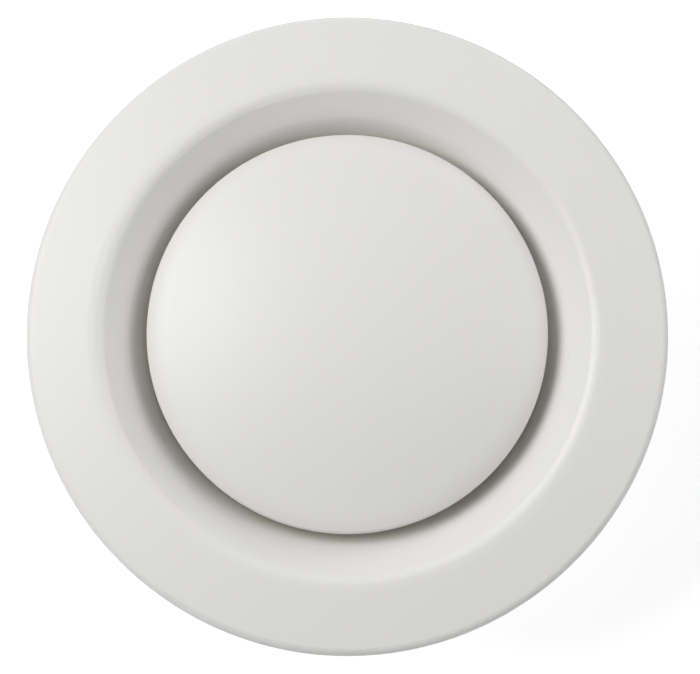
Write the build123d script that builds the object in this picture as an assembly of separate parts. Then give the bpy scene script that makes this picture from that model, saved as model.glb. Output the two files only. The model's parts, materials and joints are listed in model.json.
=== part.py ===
from build123d import *
import os
from math import asin, cos, degrees, radians, sin, sqrt, tan

# Disc valve for extract air: a pressed steel face ring with a domed disc on a threaded spindle, held by a
# bayonet in a mounting frame that goes into a 100 mm duct.
# Millimetres. +Z is the valve's axis and points out of the face, into the room. Z = 0 is the plane of the
# wall or ceiling, and the origin is where the axis crosses it.

# Mounting frame
FRAME_SHEET = 0.7
FRAME_RADIUS = 49.5         # outside of the sleeve, goes into the duct
FRAME_LENGTH = 50.0
FRAME_TAPER_LENGTH = 6.0    # lead-in at the sleeve's end
FRAME_TAPER = 8.0           # degrees
FRAME_BEND = 4.5            # inside radius between sleeve and flange
FRAME_FLANGE_REACH = 2.2    # of the flange's edge past the ring's crest
SCREW_HOLE_RADIUS = 2.25
SCREW_ANGLES = (30.0, 150.0, 270.0)

# Face ring: one pressing with a lip, a sloping flange, a bell-mouthed throat and a straight neck
RING_SHEET = 0.8
NECK_CLEARANCE = 2.5        # between the neck and the frame's sleeve
THROAT_WIDTH = 13.3         # from the neck to the crest, where the ring stands highest
FLANGE_WIDTH = 16.2         # from the crest to the rim
LIP_GAP = 0.6               # between the wall and the edge of the lip
RIM_BEND = 2.0              # outside radius from the lip to the flange
FLANGE_CROWN = 300.0        # radius of the flange's slight bulge
FLANGE_SLOPE = 10.0         # degrees, where the flange leaves the crest
CREST_LEVEL = 9.8
CREST_OUTER_BEND = 10.0
CREST_INNER_BEND = 3.4
THROAT_SLOPE = 40.0         # degrees from the face plane
BELL_BEND = 16.0            # from the throat's cone to the neck

# Bayonet: lugs pressed out of the neck, in slots of the frame
LUG_ANGLES = (90.0, 210.0, 330.0)
LUG_FOOT_RADIUS = 4.5
LUG_TIP_RADIUS = 2.5
LUG_TIP_GAP = 0.2           # from the lug's tip to the outside of the sleeve
LUG_EDGE = 0.5              # rounding of the lug's tip
SLOT_CLEARANCE = 0.4        # on each side of a lug
BAYONET_TURN = 22.0         # degrees from locked to free

# Foam gasket behind the flange
GASKET_CLEARANCE = 1.0      # around the frame's flange
GASKET_RIM_GAP = 2.5        # to the bend of the rim

# Disc
DISC_SHEET = 0.8
DISC_OVERLAP = 1.35         # by which the disc is larger than the neck
SEAT_GAP = 0.3              # between the closed disc and the throat
DISC_SET_BACK = 3.6         # of the disc's widest line behind the ring's crest, as it is set here
DOME_RADIUS = 135.0
SHOULDER_BEND = 18.0        # between the dome and the edge
DISC_EDGE_BEND = 1.2
DISC_EDGE_TILT = 35.0       # degrees, where the shoulder runs into the edge bend
SKIRT_DEPTH = 6.0           # from the widest line to the disc's back edge
SKIRT_LEAN = 28.0           # degrees, so that the closed disc rests on its edge bend

# Spindle with its nuts
SPINDLE_RADIUS = 4.0
SPINDLE_TAIL = 1.5          # left behind the stop nut
SPINDLE_CHAMFER = 0.8
RUNNING_CLEARANCE = 0.05
HEX_ACROSS_FLATS = 13.0
HEX_CHAMFER = 30.0          # degrees
HEX_FACE_SHARE = 0.95       # of the width across flats, left flat after the chamfer
HEAD_HEIGHT = 5.3
THIN_NUT_HEIGHT = 4.0
WELD_NUT_ACROSS_FLATS = 14.0
WELD_NUT_HEIGHT = 6.5
WASHER_RADIUS = 8.0
WASHER_THICKNESS = 1.6

# Hub: a cup under the dome that holds the spindle's head
HUB_SHEET = 1.2
HUB_CUP_RADIUS = 12.0       # outside
HUB_BRIM_WIDTH = 8.0
HUB_BEND = 2.0              # outside radius at the cup's floor
HEAD_ROOM = 0.4             # between the spindle's head and the dome

# Bridge across the neck, with a stiffening bead in each arm
BRIDGE_SHEET = 1.5
BRIDGE_WIDTH = 22.0
BRIDGE_BEND = 2.5           # outside radius at the ears
EAR_DEPTH = 10.5
HOLE_CLEARANCE = 0.5        # around the spindle
BEAD_GROOVE = 2.0           # radius of the groove on the disc's side
BEAD_START = 17.0           # distance from the axis
BEAD_MARGIN = 8.0           # from the bead to the bend of the ear

# Travel of the disc by the thread, outwards from where it is set here
OPEN_TRAVEL = 9.0
STOP_GAP = 0.5              # between the nuts at each end of the travel

FRAME_INNER_RADIUS = FRAME_RADIUS - FRAME_SHEET
NECK_OUTER_RADIUS = FRAME_INNER_RADIUS - NECK_CLEARANCE
NECK_INNER_RADIUS = NECK_OUTER_RADIUS - RING_SHEET
CREST_RADIUS = NECK_INNER_RADIUS + THROAT_WIDTH
FACE_RADIUS = CREST_RADIUS + FLANGE_WIDTH
FRAME_FLANGE_RADIUS = CREST_RADIUS + FRAME_FLANGE_REACH
DISC_RADIUS = NECK_INNER_RADIUS + DISC_OVERLAP
BEAD_LENGTH = NECK_INNER_RADIUS - BRIDGE_BEND - BEAD_MARGIN - BEAD_START

os.makedirs("parts", exist_ok=True)


def on_arc(centre, radius, tilt):
    """Point of a round skin whose outward normal leans tilt degrees away from +Z, as (radius, height)."""
    return (centre[0] + radius * sin(radians(tilt)), centre[1] + radius * cos(radians(tilt)))


def arc(centre, radius, first_tilt, last_tilt):
    middle = (first_tilt + last_tilt) / 2
    return ThreePointArc(*[on_arc(centre, radius, tilt) for tilt in (first_tilt, middle, last_tilt)])


def tilt_at(centre, radius, distance):
    """Tilt of a round skin at a distance from the valve's axis."""
    return degrees(asin((distance - centre[0]) / radius))


def turned(*lines):
    """Solid of revolution about Z from lines that close an outline of (radius, height)."""
    edges = [edge for line in lines for edge in line.edges()]
    return revolve(make_face(Plane.XZ * Wire(edges)), Axis.Z)


def between(skin, other):
    """Lines that join the ends of two skins of a sheet."""
    return [Line(skin[0] @ 0, other[0] @ 0), Line(skin[-1] @ 1, other[-1] @ 1)]


def radial_cylinder(radius, inner, outer, angle, level):
    """Cylinder that points away from the axis, between two distances from it."""
    body = Cylinder(radius, outer - inner, align=(Align.CENTER, Align.CENTER, Align.MIN))
    return Rot(0, 0, angle) * Pos(inner, 0, level) * Rot(0, 90, 0) * body


def radial_cone(foot_radius, tip_radius, inner, outer, angle, level):
    """Cone that points away from the axis, between two distances from it."""
    body = Cone(foot_radius, tip_radius, outer - inner, align=(Align.CENTER, Align.CENTER, Align.MIN))
    return Rot(0, 0, angle) * Pos(inner, 0, level) * Rot(0, 90, 0) * body


# Bends of the ring, placed so that each part of the pressing runs smoothly into the next
crest_inner = (CREST_RADIUS, CREST_LEVEL - CREST_INNER_BEND)
throat_top = on_arc(crest_inner, CREST_INNER_BEND, -THROAT_SLOPE)
bell_radius = NECK_INNER_RADIUS + BELL_BEND
throat_run = throat_top[0] - bell_radius + BELL_BEND * sin(radians(THROAT_SLOPE))
throat_foot = throat_top[1] - throat_run * tan(radians(THROAT_SLOPE))
bell_centre = (bell_radius, throat_foot - BELL_BEND * cos(radians(THROAT_SLOPE)))
crest_outer = (CREST_RADIUS, CREST_LEVEL - CREST_OUTER_BEND)
flange_start = on_arc(crest_outer, CREST_OUTER_BEND, FLANGE_SLOPE)
flange_centre = on_arc(flange_start, -FLANGE_CROWN, FLANGE_SLOPE)
rim_tilt = tilt_at(flange_centre, FLANGE_CROWN - RIM_BEND, FACE_RADIUS - RIM_BEND)
rim_centre = on_arc(flange_centre, FLANGE_CROWN - RIM_BEND, rim_tilt)

# Levels along the axis, from the dome to the spindle's end
disc_level = CREST_LEVEL - DISC_SET_BACK
edge_radius = DISC_RADIUS - DISC_EDGE_BEND
disc_edge = (edge_radius, disc_level)
shoulder_centre = on_arc(disc_edge, DISC_EDGE_BEND - SHOULDER_BEND, DISC_EDGE_TILT)
dome_reach = DOME_RADIUS - SHOULDER_BEND
dome_tilt = tilt_at((0, 0), dome_reach, shoulder_centre[0])
dome_centre = on_arc(shoulder_centre, -dome_reach, dome_tilt)
seat_reach = BELL_BEND + DISC_EDGE_BEND + SEAT_GAP
seat_level = bell_centre[1] + sqrt(seat_reach**2 - (bell_radius - edge_radius) ** 2)
close_travel = disc_level - seat_level
under_dome = DOME_RADIUS - DISC_SHEET
cup_floor = dome_centre[1] + under_dome - HEAD_ROOM - HEAD_HEIGHT
cup_back = cup_floor - HUB_SHEET
hub_nut_back = cup_back - THIN_NUT_HEIGHT
bridge_level = hub_nut_back - close_travel - STOP_GAP - WELD_NUT_HEIGHT
washer_back = bridge_level - BRIDGE_SHEET - WASHER_THICKNESS
lock_nut_back = washer_back - THIN_NUT_HEIGHT
stop_nut_back = lock_nut_back - OPEN_TRAVEL - STOP_GAP - THIN_NUT_HEIGHT
spindle_back = stop_nut_back - SPINDLE_TAIL
neck_end = bridge_level - EAR_DEPTH
lug_level = (neck_end + bell_centre[1]) / 2


# Face ring
def ring_skin(depth):
    """The ring's outline at a depth behind its front, from the neck's end to the lip's edge."""
    bell = arc(bell_centre, BELL_BEND - depth, -90, -THROAT_SLOPE)
    crest_in = arc(crest_inner, CREST_INNER_BEND - depth, -THROAT_SLOPE, 0)
    crest_out = arc(crest_outer, CREST_OUTER_BEND - depth, 0, FLANGE_SLOPE)
    flange = arc(flange_centre, FLANGE_CROWN - depth, FLANGE_SLOPE, rim_tilt)
    rim = arc(rim_centre, RIM_BEND - depth, rim_tilt, 90)
    neck = Line((NECK_INNER_RADIUS + depth, neck_end), bell @ 0)
    lip = Line(rim @ 1, (FACE_RADIUS - depth, LIP_GAP))
    return [neck, bell, Line(bell @ 1, crest_in @ 0), crest_in, crest_out, flange, rim, lip]


front = ring_skin(0)
back = ring_skin(RING_SHEET)
valve_ring = turned(*front, *back, *between(front, back))
lug_tip = FRAME_RADIUS - LUG_TIP_GAP
lug_foot = NECK_OUTER_RADIUS - RING_SHEET / 2
dent_foot = NECK_INNER_RADIUS - RING_SHEET
for angle in LUG_ANGLES:
    lug = radial_cone(LUG_FOOT_RADIUS, LUG_TIP_RADIUS, lug_foot, lug_tip, angle, lug_level)
    tip_edge = lug.edges().filter_by(GeomType.CIRCLE).sort_by(SortBy.RADIUS)[0]
    valve_ring += fillet(tip_edge, LUG_EDGE)
    dent_sizes = (LUG_FOOT_RADIUS - RING_SHEET / 2, LUG_TIP_RADIUS - RING_SHEET)
    valve_ring -= radial_cone(*dent_sizes, dent_foot, lug_tip - RING_SHEET, angle, lug_level)
export_step(valve_ring, "parts/valve_ring.step")

# Foam gasket, pressed between the wall and the flange's underside
foam_inner = FRAME_FLANGE_RADIUS + GASKET_CLEARANCE
foam_outer = FACE_RADIUS - RIM_BEND - GASKET_RIM_GAP
foam_tilts = [tilt_at(flange_centre, FLANGE_CROWN - RING_SHEET, distance) for distance in (foam_inner, foam_outer)]
foam_top = arc(flange_centre, FLANGE_CROWN - RING_SHEET, *foam_tilts)
foam_sides = Polyline(foam_top @ 0, (foam_inner, 0), (foam_outer, 0), foam_top @ 1)
export_step(turned(foam_top, foam_sides), "parts/ring_gasket.step")


# Mounting frame
def frame_skin(depth):
    """The frame's outline at a depth outside its inner face, from the sleeve's end to the flange's edge."""
    bend = arc((FRAME_RADIUS + FRAME_BEND, -FRAME_BEND), FRAME_BEND + FRAME_SHEET - depth, -90, 0)
    radius = FRAME_INNER_RADIUS + depth
    end = -FRAME_LENGTH
    taper_top = end + FRAME_TAPER_LENGTH
    taper = FRAME_TAPER_LENGTH * tan(radians(FRAME_TAPER))
    sleeve = Polyline((radius - taper, end), (radius, taper_top), bend @ 0)
    return [sleeve, bend, Line(bend @ 1, (FRAME_FLANGE_RADIUS, FRAME_SHEET - depth))]


inner_face = frame_skin(0)
outer_face = frame_skin(FRAME_SHEET)
mounting_frame = turned(*inner_face, *outer_face, *between(inner_face, outer_face))
lug_lean = (LUG_FOOT_RADIUS - LUG_TIP_RADIUS) / (lug_tip - lug_foot)
slot_radius = LUG_TIP_RADIUS + lug_lean * (lug_tip - FRAME_INNER_RADIUS) + SLOT_CLEARANCE
slot_outer = lug_tip + 2 * SLOT_CLEARANCE
slot_depth = slot_outer - NECK_OUTER_RADIUS
slot_section = Pos(NECK_OUTER_RADIUS + slot_depth / 2, lug_level) * Rectangle(slot_depth, 2 * slot_radius)
slot_run = revolve(Plane.XZ * slot_section, Axis.Z, BAYONET_TURN)
slot_mouth = Box(slot_depth, 2 * slot_radius, FRAME_LENGTH, align=(Align.MIN, Align.CENTER, Align.MIN))
for angle in LUG_ANGLES:
    mounting_frame -= Rot(0, 0, angle) * slot_run
    mounting_frame -= radial_cylinder(slot_radius, NECK_OUTER_RADIUS, slot_outer, angle, lug_level)
    mounting_frame -= radial_cylinder(slot_radius, NECK_OUTER_RADIUS, slot_outer, angle + BAYONET_TURN, lug_level)
    mounting_frame -= Rot(0, 0, angle + BAYONET_TURN) * Pos(NECK_OUTER_RADIUS, 0, lug_level) * slot_mouth
screw_circle = (FRAME_RADIUS + FRAME_BEND + FRAME_FLANGE_RADIUS) / 2
for angle in SCREW_ANGLES:
    mounting_frame -= Rot(0, 0, angle) * Pos(screw_circle, 0, 0) * Cylinder(SCREW_HOLE_RADIUS, 4 * FRAME_SHEET)
export_step(mounting_frame, "parts/mounting_frame.step")


# Disc
def disc_skin(depth):
    """The disc's outline at a depth under its skin, from the middle to the skirt's back edge."""
    dome = arc(dome_centre, DOME_RADIUS - depth, 0, dome_tilt)
    shoulder = arc(shoulder_centre, SHOULDER_BEND - depth, dome_tilt, DISC_EDGE_TILT)
    edge = arc(disc_edge, DISC_EDGE_BEND - depth, DISC_EDGE_TILT, 90 + SKIRT_LEAN)
    skirt_top = edge @ 1
    skirt_end = disc_level - SKIRT_DEPTH
    lean = (skirt_top.Y - skirt_end) * tan(radians(SKIRT_LEAN))
    return [dome, shoulder, edge, Line(skirt_top, (skirt_top.X - lean, skirt_end))]


outside = disc_skin(0)
inside = disc_skin(DISC_SHEET)
export_step(turned(*outside, *inside, *between(outside, inside)), "parts/valve_disc.step")


# Hub, its brim lying against the dome's underside
def hub_skin(depth):
    """The hub's outline at a depth behind the face that meets the dome, from the axis to the brim's edge."""
    wall = HUB_CUP_RADIUS - HUB_SHEET + depth
    bend = HUB_BEND - HUB_SHEET + depth
    floor = cup_floor - depth
    corner = arc((wall - bend, floor + bend), -bend, -90, 0)
    brim_radius = under_dome - depth
    brim_tilts = [tilt_at(dome_centre, brim_radius, distance) for distance in (wall, HUB_CUP_RADIUS + HUB_BRIM_WIDTH)]
    brim = arc(dome_centre, brim_radius, *brim_tilts)
    return [Line((0, floor), corner @ 1), corner, Line(corner @ 0, brim @ 0), brim]


cup_inside = hub_skin(0)
cup_outside = hub_skin(HUB_SHEET)
disc_hub = turned(*cup_inside, *cup_outside, *between(cup_inside, cup_outside))
disc_hub -= Pos(0, 0, cup_floor) * Cylinder(SPINDLE_RADIUS + RUNNING_CLEARANCE, 4 * HUB_SHEET)
export_step(disc_hub, "parts/disc_hub.step")


# Spindle and nuts
def hexagon(across_flats, height, chamfer_back):
    """Hexagon on Z from 0 to height, its corners turned off in front and, if asked, at the back."""
    corner = across_flats / sqrt(3)
    flat = HEX_FACE_SHARE * across_flats / 2
    drop = (corner - flat) * tan(radians(HEX_CHAMFER))
    back_points = [(flat, 0), (corner, drop)] if chamfer_back else [(corner, 0)]
    outline = Polyline((0, 0), *back_points, (corner, height - drop), (flat, height), (0, height), close=True)
    return extrude(RegularPolygon(across_flats / 2, 6, major_radius=False), height) & turned(outline)


def nut(across_flats, height, level):
    """Nut whose back face is at the given level."""
    bore = Cylinder(SPINDLE_RADIUS + RUNNING_CLEARANCE, 3 * height)
    return Pos(0, 0, level) * (hexagon(across_flats, height, True) - bore)


spindle_end = spindle_back + SPINDLE_CHAMFER
rod = Polyline(
    (0, spindle_back),
    (SPINDLE_RADIUS - SPINDLE_CHAMFER, spindle_back),
    (SPINDLE_RADIUS, spindle_end),
    (SPINDLE_RADIUS, cup_floor),
    (0, cup_floor),
    close=True,
)
spindle = turned(rod) + Pos(0, 0, cup_floor) * hexagon(HEX_ACROSS_FLATS, HEAD_HEIGHT, False)
export_step(spindle, "parts/spindle.step")
export_step(nut(HEX_ACROSS_FLATS, THIN_NUT_HEIGHT, hub_nut_back), "parts/hub_nut.step")
export_step(nut(HEX_ACROSS_FLATS, THIN_NUT_HEIGHT, stop_nut_back), "parts/stop_nut.step")
export_step(nut(HEX_ACROSS_FLATS, THIN_NUT_HEIGHT, lock_nut_back), "parts/lock_nut.step")
export_step(nut(WELD_NUT_ACROSS_FLATS, WELD_NUT_HEIGHT, bridge_level), "parts/weld_nut.step")
washer = Cylinder(WASHER_RADIUS, WASHER_THICKNESS, align=(Align.CENTER, Align.CENTER, Align.MIN))
washer -= Cylinder(SPINDLE_RADIUS + HOLE_CLEARANCE, 4 * WASHER_THICKNESS)
export_step(Pos(0, 0, washer_back) * washer, "parts/lock_washer.step")


# Bridge: a strap with its ends bent back against the neck
def strap_skin(depth):
    """The strap's outline at a depth behind its face, from the axis to the ear's end."""
    bend_centre = (NECK_INNER_RADIUS - BRIDGE_BEND, bridge_level - BRIDGE_BEND)
    bend = arc(bend_centre, BRIDGE_BEND - depth, 0, 90)
    return [Line((0, bridge_level - depth), bend @ 0), bend, Line(bend @ 1, (NECK_INNER_RADIUS - depth, neck_end))]


def bead(radius):
    """Round-ended bar along both arms, its middle in the strap's face."""
    bar = Pos(BEAD_START + BEAD_LENGTH / 2, 0, 0) * Rot(0, 90, 0) * Cylinder(radius, BEAD_LENGTH)
    bar += Pos(BEAD_START, 0, 0) * Sphere(radius)
    bar += Pos(BEAD_START + BEAD_LENGTH, 0, 0) * Sphere(radius)
    bar &= Pos(0, 0, -FACE_RADIUS) * Box(4 * FACE_RADIUS, 4 * FACE_RADIUS, 2 * FACE_RADIUS)
    return Pos(0, 0, bridge_level) * (bar + Rot(0, 0, 180) * bar)


strap_face = strap_skin(0)
strap_back = strap_skin(BRIDGE_SHEET)
bridge = turned(*strap_face, *strap_back, *between(strap_face, strap_back))
bridge &= Box(4 * FACE_RADIUS, BRIDGE_WIDTH, 4 * FACE_RADIUS)
bridge -= Cylinder(SPINDLE_RADIUS + HOLE_CLEARANCE, 4 * FACE_RADIUS)
bridge += bead(BEAD_GROOVE + BRIDGE_SHEET)
bridge -= bead(BEAD_GROOVE)
export_step(bridge, "parts/bridge.step")
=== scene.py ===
import json
from math import cos, pi, radians, sin, tan

import bpy
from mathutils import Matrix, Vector


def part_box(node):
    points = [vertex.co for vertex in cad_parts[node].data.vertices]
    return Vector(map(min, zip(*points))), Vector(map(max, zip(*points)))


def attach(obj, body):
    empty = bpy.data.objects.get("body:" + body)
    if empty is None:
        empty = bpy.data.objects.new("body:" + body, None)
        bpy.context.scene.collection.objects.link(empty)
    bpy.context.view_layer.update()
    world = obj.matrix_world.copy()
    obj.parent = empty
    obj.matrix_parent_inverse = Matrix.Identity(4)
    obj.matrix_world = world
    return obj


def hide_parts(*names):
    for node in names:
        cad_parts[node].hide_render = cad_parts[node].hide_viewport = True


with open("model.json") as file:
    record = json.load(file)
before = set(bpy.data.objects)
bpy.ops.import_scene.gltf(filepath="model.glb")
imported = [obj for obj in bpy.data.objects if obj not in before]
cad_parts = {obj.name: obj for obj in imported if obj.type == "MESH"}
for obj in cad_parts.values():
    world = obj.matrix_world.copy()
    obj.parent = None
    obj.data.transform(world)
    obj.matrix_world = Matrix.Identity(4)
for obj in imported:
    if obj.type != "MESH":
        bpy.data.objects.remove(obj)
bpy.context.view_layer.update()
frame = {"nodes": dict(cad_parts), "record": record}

# Picture in pixels: its size, where the camera's target falls in it, and the radius of the valve's rim
IMAGE_WIDTH = 700
IMAGE_HEIGHT = 674
TARGET_X = 347.3
TARGET_Y = 335.0
RIM_RADIUS_PX = 320.3

# Camera, nearly straight in front of the face
CAMERA_DISTANCE = 1.0
CAMERA_RIGHT = 0.06         # sideways and upward slope of the line from the target to the camera
CAMERA_UP = -0.085
CAMERA_TARGET = Vector((0, 0, 0.003))
SENSOR_WIDTH = 36.0         # millimetres

# Stage and light
FLOOR_SIZE = 12.0
FLOOR_LEVEL = -0.05         # of the sleeve's end
FLOOR_GLOW = 0.62           # that the camera sees in the floor, on top of the light that falls on it
FLOOR_SHEEN = 0.25          # that reflections see there, on top of the same light
LAMP_DISTANCE = 3.0
LAMP_POWER = 400.0          # watts of a lamp with a half angle of 45 degrees and a level of 1

# Painted shade on the powder coat: a darker tone at the disc's edge, and a warm shade tone deep in the
# ring's throat, and the distances from the valve's axis at which each painted shade starts and is full
EDGE_SHADE_TONE = (0.76, 0.748, 0.725)
EDGE_SHADE_START = 0.0435
EDGE_SHADE_FULL = 0.0468
THROAT_SHADE_TONE = (0.79, 0.77, 0.69)
THROAT_SHADE_START = 0.0498
THROAT_SHADE_FULL = 0.0474

# Spindle with its thread and hexagon head
THREAD_RADIUS = 0.004
THREAD_PITCH = 0.00125
DEPTH_SHARE = 0.613         # of the pitch, as the next two are
CREST_SHARE = 0.125
ROOT_SHARE = 0.25
END_CHAMFER = 0.0008
HEAD_HEIGHT = 0.0053
HEAD_APOTHEM = 0.0065
HEAD_CHAMFER = 30.0         # degrees
HEAD_FLAT_SHARE = 0.95      # of the apothem, left flat inside the chamfer
SIDE_ANGLE = pi / 3         # that one side of the hexagon takes up
TURN_STEPS = 72
PITCH_STEPS = 12
ANGLES = [2 * pi * step / TURN_STEPS for step in range(TURN_STEPS)]


def new_material(name):
    """Material with a node tree, its nodes, a function that links two sockets, and its main shader."""
    material = bpy.data.materials.new(name)
    material.use_nodes = True
    nodes = material.node_tree.nodes
    return material, nodes, material.node_tree.links.new, nodes["Principled BSDF"]


def add_texture(nodes, link, kind, scale, detail=2.0):
    """Solid texture in the valve's own coordinates, with a scale in cells per metre."""
    place = nodes.new("ShaderNodeTexCoord")
    texture = nodes.new(kind)
    texture.inputs["Scale"].default_value = scale
    texture.inputs["Detail"].default_value = detail
    link(place.outputs["Object"], texture.inputs["Vector"])
    return texture


def add_range(nodes, link, value, low, high):
    """Map of a value from 0 to 1 onto another range."""
    node = nodes.new("ShaderNodeMapRange")
    node.inputs["To Min"].default_value = low
    node.inputs["To Max"].default_value = high
    link(value, node.inputs["Value"])
    return node.outputs["Result"]


def add_colours(nodes, link, value, low, high):
    """Mix of two colours by a value from 0 to 1."""
    node = nodes.new("ShaderNodeMix")
    node.data_type = "RGBA"
    node.inputs["A"].default_value = (*low, 1)
    node.inputs["B"].default_value = (*high, 1)
    link(value, node.inputs["Factor"])
    return node.outputs["Result"]


def add_bump(nodes, link, shader, height, strength, distance):
    """Fine relief of a surface."""
    node = nodes.new("ShaderNodeBump")
    node.inputs["Strength"].default_value = strength
    node.inputs["Distance"].default_value = distance
    link(height, node.inputs["Height"])
    link(node.outputs["Normal"], shader.inputs["Normal"])


def add_radial_mask(nodes, link, start, full):
    """Rise from 0 to 1 between two distances from the valve's axis, outwards or inwards."""
    place = nodes.new("ShaderNodeTexCoord")
    across = nodes.new("ShaderNodeVectorMath")
    across.operation = "MULTIPLY"
    across.inputs[1].default_value = (1, 1, 0)
    link(place.outputs["Object"], across.inputs[0])
    length = nodes.new("ShaderNodeVectorMath")
    length.operation = "LENGTH"
    link(across.outputs["Vector"], length.inputs[0])
    rise = nodes.new("ShaderNodeMapRange")
    rise.interpolation_type = "SMOOTHSTEP"
    rise.inputs["From Min"].default_value = start
    rise.inputs["From Max"].default_value = full
    link(length.outputs["Value"], rise.inputs["Value"])
    return rise.outputs["Result"]


def powder_coat_and_shade(name, shade_tone, start, full):
    """Satin white powder coat with a faint orange peel, and a painted shade in another tone between two
    radii.
    """
    material, nodes, link, shader = new_material(name)
    cloud = add_texture(nodes, link, "ShaderNodeTexNoise", scale=45).outputs["Fac"]
    peel = add_texture(nodes, link, "ShaderNodeTexNoise", scale=1100).outputs["Fac"]
    tone = add_colours(nodes, link, cloud, low=(0.805, 0.797, 0.782), high=(0.795, 0.788, 0.774))
    # Painted shade: the coat's tone blends into the shade tone between the two distances from the axis
    coat = nodes.new("ShaderNodeMix")
    coat.data_type = "RGBA"
    coat.inputs["B"].default_value = (*shade_tone, 1)
    link(tone, coat.inputs["A"])
    link(add_radial_mask(nodes, link, start, full), coat.inputs["Factor"])
    link(coat.outputs["Result"], shader.inputs["Base Color"])
    link(add_range(nodes, link, peel, low=0.38, high=0.44), shader.inputs["Roughness"])
    shader.inputs["Specular IOR Level"].default_value = 0.45
    add_bump(nodes, link, shader, peel, strength=0.25, distance=0.00002)
    return material


def galvanised_steel():
    """Zinc-coated sheet with its crystal pattern."""
    material, nodes, link, shader = new_material("galvanised_steel")
    crystal = add_texture(nodes, link, "ShaderNodeTexVoronoi", scale=330, detail=0)
    crystal.feature = "SMOOTH_F1"
    crystal.inputs["Smoothness"].default_value = 0.15
    cell = nodes.new("ShaderNodeSeparateColor")
    link(crystal.outputs["Color"], cell.inputs["Color"])
    tone = add_colours(nodes, link, cell.outputs["Red"], low=(0.49, 0.505, 0.515), high=(0.57, 0.585, 0.595))
    link(tone, shader.inputs["Base Color"])
    shader.inputs["Metallic"].default_value = 1
    link(add_range(nodes, link, cell.outputs["Green"], low=0.3, high=0.46), shader.inputs["Roughness"])
    grain = add_texture(nodes, link, "ShaderNodeTexNoise", scale=900, detail=4).outputs["Fac"]
    add_bump(nodes, link, shader, grain, strength=0.2, distance=0.00003)
    return material


def zinc_plate():
    """Bright zinc plating on turned steel."""
    material, nodes, link, shader = new_material("zinc_plate")
    cloud = add_texture(nodes, link, "ShaderNodeTexNoise", scale=260, detail=3).outputs["Fac"]
    tone = add_colours(nodes, link, cloud, low=(0.6, 0.615, 0.63), high=(0.72, 0.73, 0.735))
    link(tone, shader.inputs["Base Color"])
    shader.inputs["Metallic"].default_value = 1
    link(add_range(nodes, link, cloud, low=0.22, high=0.36), shader.inputs["Roughness"])
    grain = add_texture(nodes, link, "ShaderNodeTexNoise", scale=2500).outputs["Fac"]
    add_bump(nodes, link, shader, grain, strength=0.15, distance=0.00002)
    return material


def foam():
    """Dark open-celled foam."""
    material, nodes, link, shader = new_material("foam")
    cells = add_texture(nodes, link, "ShaderNodeTexVoronoi", scale=1300, detail=0).outputs["Distance"]
    tone = add_colours(nodes, link, cells, low=(0.02, 0.02, 0.021), high=(0.085, 0.085, 0.088))
    link(tone, shader.inputs["Base Color"])
    shader.inputs["Roughness"].default_value = 0.95
    shader.inputs["Specular IOR Level"].default_value = 0.2
    add_bump(nodes, link, shader, cells, strength=0.8, distance=0.0005)
    return material


def seen_directly(nodes, link):
    """1 for rays from the camera, from mirror-like reflections and through glass, else 0."""
    path = nodes.new("ShaderNodeLightPath")
    seen = path.outputs["Is Camera Ray"]
    for kind in ("Is Glossy Ray", "Is Transmission Ray"):
        larger = nodes.new("ShaderNodeMath")
        larger.operation = "MAXIMUM"
        link(seen, larger.inputs[0])
        link(path.outputs[kind], larger.inputs[1])
        seen = larger.outputs["Value"]
    return seen


def add_floor_glow(nodes, link, shader):
    """White glow that the camera and reflections see, and that lights nothing."""
    path = nodes.new("ShaderNodeLightPath")
    strength = add_range(nodes, link, path.outputs["Is Camera Ray"], low=FLOOR_SHEEN, high=FLOOR_GLOW)
    glow = nodes.new("ShaderNodeMath")
    glow.operation = "MULTIPLY"
    link(seen_directly(nodes, link), glow.inputs[0])
    link(strength, glow.inputs[1])
    link(glow.outputs["Value"], shader.inputs["Emission Strength"])
    shader.inputs["Emission Color"].default_value = (1, 1, 1, 1)


def clear_back(nodes, link, shader):
    """Makes a surface see-through from behind."""
    side = nodes.new("ShaderNodeNewGeometry")
    clear = nodes.new("ShaderNodeBsdfTransparent")
    shown = nodes.new("ShaderNodeMixShader")
    link(side.outputs["Backfacing"], shown.inputs["Fac"])
    link(shader.outputs["BSDF"], shown.inputs[1])
    link(clear.outputs["BSDF"], shown.inputs[2])
    link(shown.outputs["Shader"], nodes["Material Output"].inputs["Surface"])


def white_floor():
    """Pale floor that shows white, keeps the object's shadow, and can be looked through from below."""
    material, nodes, link, shader = new_material("white_floor")
    shader.inputs["Base Color"].default_value = (0.85, 0.85, 0.85, 1)
    shader.inputs["Roughness"].default_value = 0.9
    add_floor_glow(nodes, link, shader)
    clear_back(nodes, link, shader)
    return material


def paint(node, material):
    """Gives a CAD node a better material."""
    for slot in node.material_slots:
        slot.material = material


def make_mesh(name, points, faces, material):
    """Smooth mesh with one material, as an object in the scene."""
    mesh = bpy.data.meshes.new(name)
    mesh.from_pydata(points, [], faces)
    mesh.polygons.foreach_set("use_smooth", [True] * len(faces))
    mesh.materials.append(material)
    mesh.update()
    piece = bpy.data.objects.new(name, mesh)
    bpy.context.scene.collection.objects.link(piece)
    return piece


def ring_about_z(radii, levels):
    """Points round the axis, one at each of the angles."""
    ring = []
    for angle, radius, level in zip(ANGLES, radii, levels):
        ring.append((radius * cos(angle), radius * sin(angle), level))
    return ring


def rings_to_mesh(name, rings, material):
    """Closed mesh through rings about Z, from the back to the front."""
    points = [point for ring in rings for point in ring]
    faces = [tuple(range(TURN_STEPS))[::-1]]
    for row in range(len(rings) - 1):
        start = row * TURN_STEPS
        above = start + TURN_STEPS
        for step in range(TURN_STEPS):
            after = (step + 1) % TURN_STEPS
            faces.append((start + step, start + after, above + after, above + step))
    last = (len(rings) - 1) * TURN_STEPS
    faces.append(tuple(range(last, last + TURN_STEPS)))
    return make_mesh(name, points, faces, material)


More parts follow.
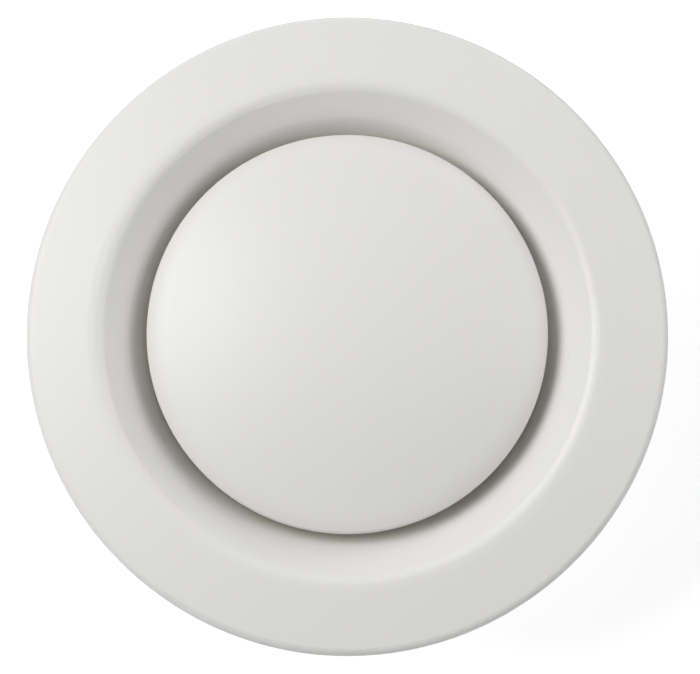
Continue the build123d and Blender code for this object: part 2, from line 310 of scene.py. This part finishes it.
def thread_radius(angle, height):
    """Radius of the right-handed thread, at a height above the spindle's chamfered back end."""
    share = (height / THREAD_PITCH - angle / (2 * pi)) % 1
    from_crest = abs(share - 0.5) - CREST_SHARE / 2
    flank = (1 - CREST_SHARE - ROOT_SHARE) / 2
    drop = min(max(from_crest / flank, 0), 1) * DEPTH_SHARE * THREAD_PITCH
    return min(THREAD_RADIUS - drop, THREAD_RADIUS - END_CHAMFER + height)


def hexagon_radius(angle):
    """Distance from the axis to the head's outline."""
    return HEAD_APOTHEM / cos(angle % SIDE_ANGLE - SIDE_ANGLE / 2)


def thread_rings(back, head):
    """Rings of the thread, from the spindle's back end to its head."""
    length = head - back
    rows = round(length / THREAD_PITCH * PITCH_STEPS)
    rings = []
    for row in range(rows + 1):
        height = length * row / rows
        radii = [thread_radius(angle, height) for angle in ANGLES]
        rings.append(ring_about_z(radii, [back + height] * TURN_STEPS))
    return rings


def head_rings(head, front):
    """Rings of the hexagon head, whose corners are chamfered at the front."""
    outline = [hexagon_radius(angle) for angle in ANGLES]
    flat = HEAD_FLAT_SHARE * HEAD_APOTHEM
    slope = tan(radians(HEAD_CHAMFER))
    chamfer = [front - (radius - flat) * slope for radius in outline]
    return [
        ring_about_z(outline, [head] * TURN_STEPS),
        ring_about_z(outline, chamfer),
        ring_about_z([flat] * TURN_STEPS, [front] * TURN_STEPS),
    ]


def threaded_spindle(material):
    """Spindle with a thread up to its hexagon head."""
    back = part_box("spindle")[0].z
    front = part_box("spindle")[1].z
    head = front - HEAD_HEIGHT
    return rings_to_mesh("threaded_spindle", thread_rings(back, head) + head_rings(head, front), material)


def aim(thing, direction):
    """Turns a lamp or camera to look along a direction, with +Y upright."""
    thing.rotation_euler = direction.to_track_quat("-Z", "Y").to_euler()


def soft_lamp(name, tilt, turn, half_angle, level):
    """Round soft lamp, tilt degrees away from the valve's axis and turn degrees round from +X."""
    spread = tan(radians(half_angle))
    light = bpy.data.lights.new(name, "AREA")
    light.shape = "DISK"
    light.size = 2 * LAMP_DISTANCE * spread
    light.energy = level * LAMP_POWER * spread**2
    lamp = bpy.data.objects.new(name, light)
    bpy.context.scene.collection.objects.link(lamp)
    across = sin(radians(tilt))
    direction = Vector((across * cos(radians(turn)), across * sin(radians(turn)), cos(radians(tilt))))
    lamp.location = direction * LAMP_DISTANCE
    aim(lamp, -direction)


def make_world():
    """White surroundings that the camera and reflections see, while the lamps alone throw light."""
    world = bpy.data.worlds.new("studio")
    world.use_nodes = True
    nodes = world.node_tree.nodes
    link = world.node_tree.links.new
    background = nodes["Background"]
    background.inputs["Color"].default_value = (1, 1, 1, 1)
    link(seen_directly(nodes, link), background.inputs["Strength"])
    bpy.context.scene.world = world


def make_floor():
    """Floor that the sleeve stands on."""
    half = FLOOR_SIZE / 2
    outline = ((-half, -half), (half, -half), (half, half), (-half, half))
    corners = [(x, y, FLOOR_LEVEL) for x, y in outline]
    make_mesh("floor", corners, [(0, 1, 2, 3)], white_floor())


def make_camera():
    """Camera whose picture holds the rim where the photograph has it."""
    lens = bpy.data.cameras.new("camera")
    camera = bpy.data.objects.new("camera", lens)
    bpy.context.scene.collection.objects.link(camera)
    outward = Vector((CAMERA_RIGHT, CAMERA_UP, 1)).normalized()
    camera.location = CAMERA_TARGET + outward * CAMERA_DISTANCE
    aim(camera, -outward)
    rim_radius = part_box("valve_ring")[1].x
    half_width = rim_radius * IMAGE_WIDTH / 2 / RIM_RADIUS_PX
    lens.sensor_width = SENSOR_WIDTH
    lens.lens = SENSOR_WIDTH / 2 * CAMERA_DISTANCE / half_width
    lens.shift_x = (IMAGE_WIDTH / 2 - TARGET_X) / IMAGE_WIDTH
    lens.shift_y = (TARGET_Y - IMAGE_HEIGHT / 2) / IMAGE_WIDTH
    bpy.context.scene.camera = camera


finishes = {
    # The disc's parts get a painted shade that darkens the coat towards the disc's edge
    "white_paint": powder_coat_and_shade("powder_coat_and_shade", EDGE_SHADE_TONE, EDGE_SHADE_START, EDGE_SHADE_FULL),
    "galvanised": galvanised_steel(),
    "zinc": zinc_plate(),
    "foam": foam(),
}
for subpart in frame["record"]["subparts"]:
    paint(frame["nodes"][subpart["node"]], finishes[subpart["material_slot"]])
# The ring gets a painted warm shade deep in its throat, next to the disc
ring_coat_and_throat_shade = powder_coat_and_shade("ring_coat_and_throat_shade", THROAT_SHADE_TONE, THROAT_SHADE_START, THROAT_SHADE_FULL)
paint(frame["nodes"]["valve_ring"], ring_coat_and_throat_shade)

spindle = threaded_spindle(finishes["zinc"])
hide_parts("spindle")
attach(spindle, "disc")

make_floor()
make_world()
make_camera()
soft_lamp("key", tilt=42, turn=200, half_angle=18, level=1.4)
soft_lamp("key_low", tilt=55, turn=180, half_angle=20, level=0.37)
soft_lamp("fill_upper_right", tilt=55, turn=45, half_angle=20, level=0.57)
soft_lamp("fill_lower_right", tilt=55, turn=315, half_angle=20, level=0.31)
soft_lamp("top", tilt=75, turn=90, half_angle=14, level=0.69)
bpy.context.scene.view_settings.view_transform = "Standard"
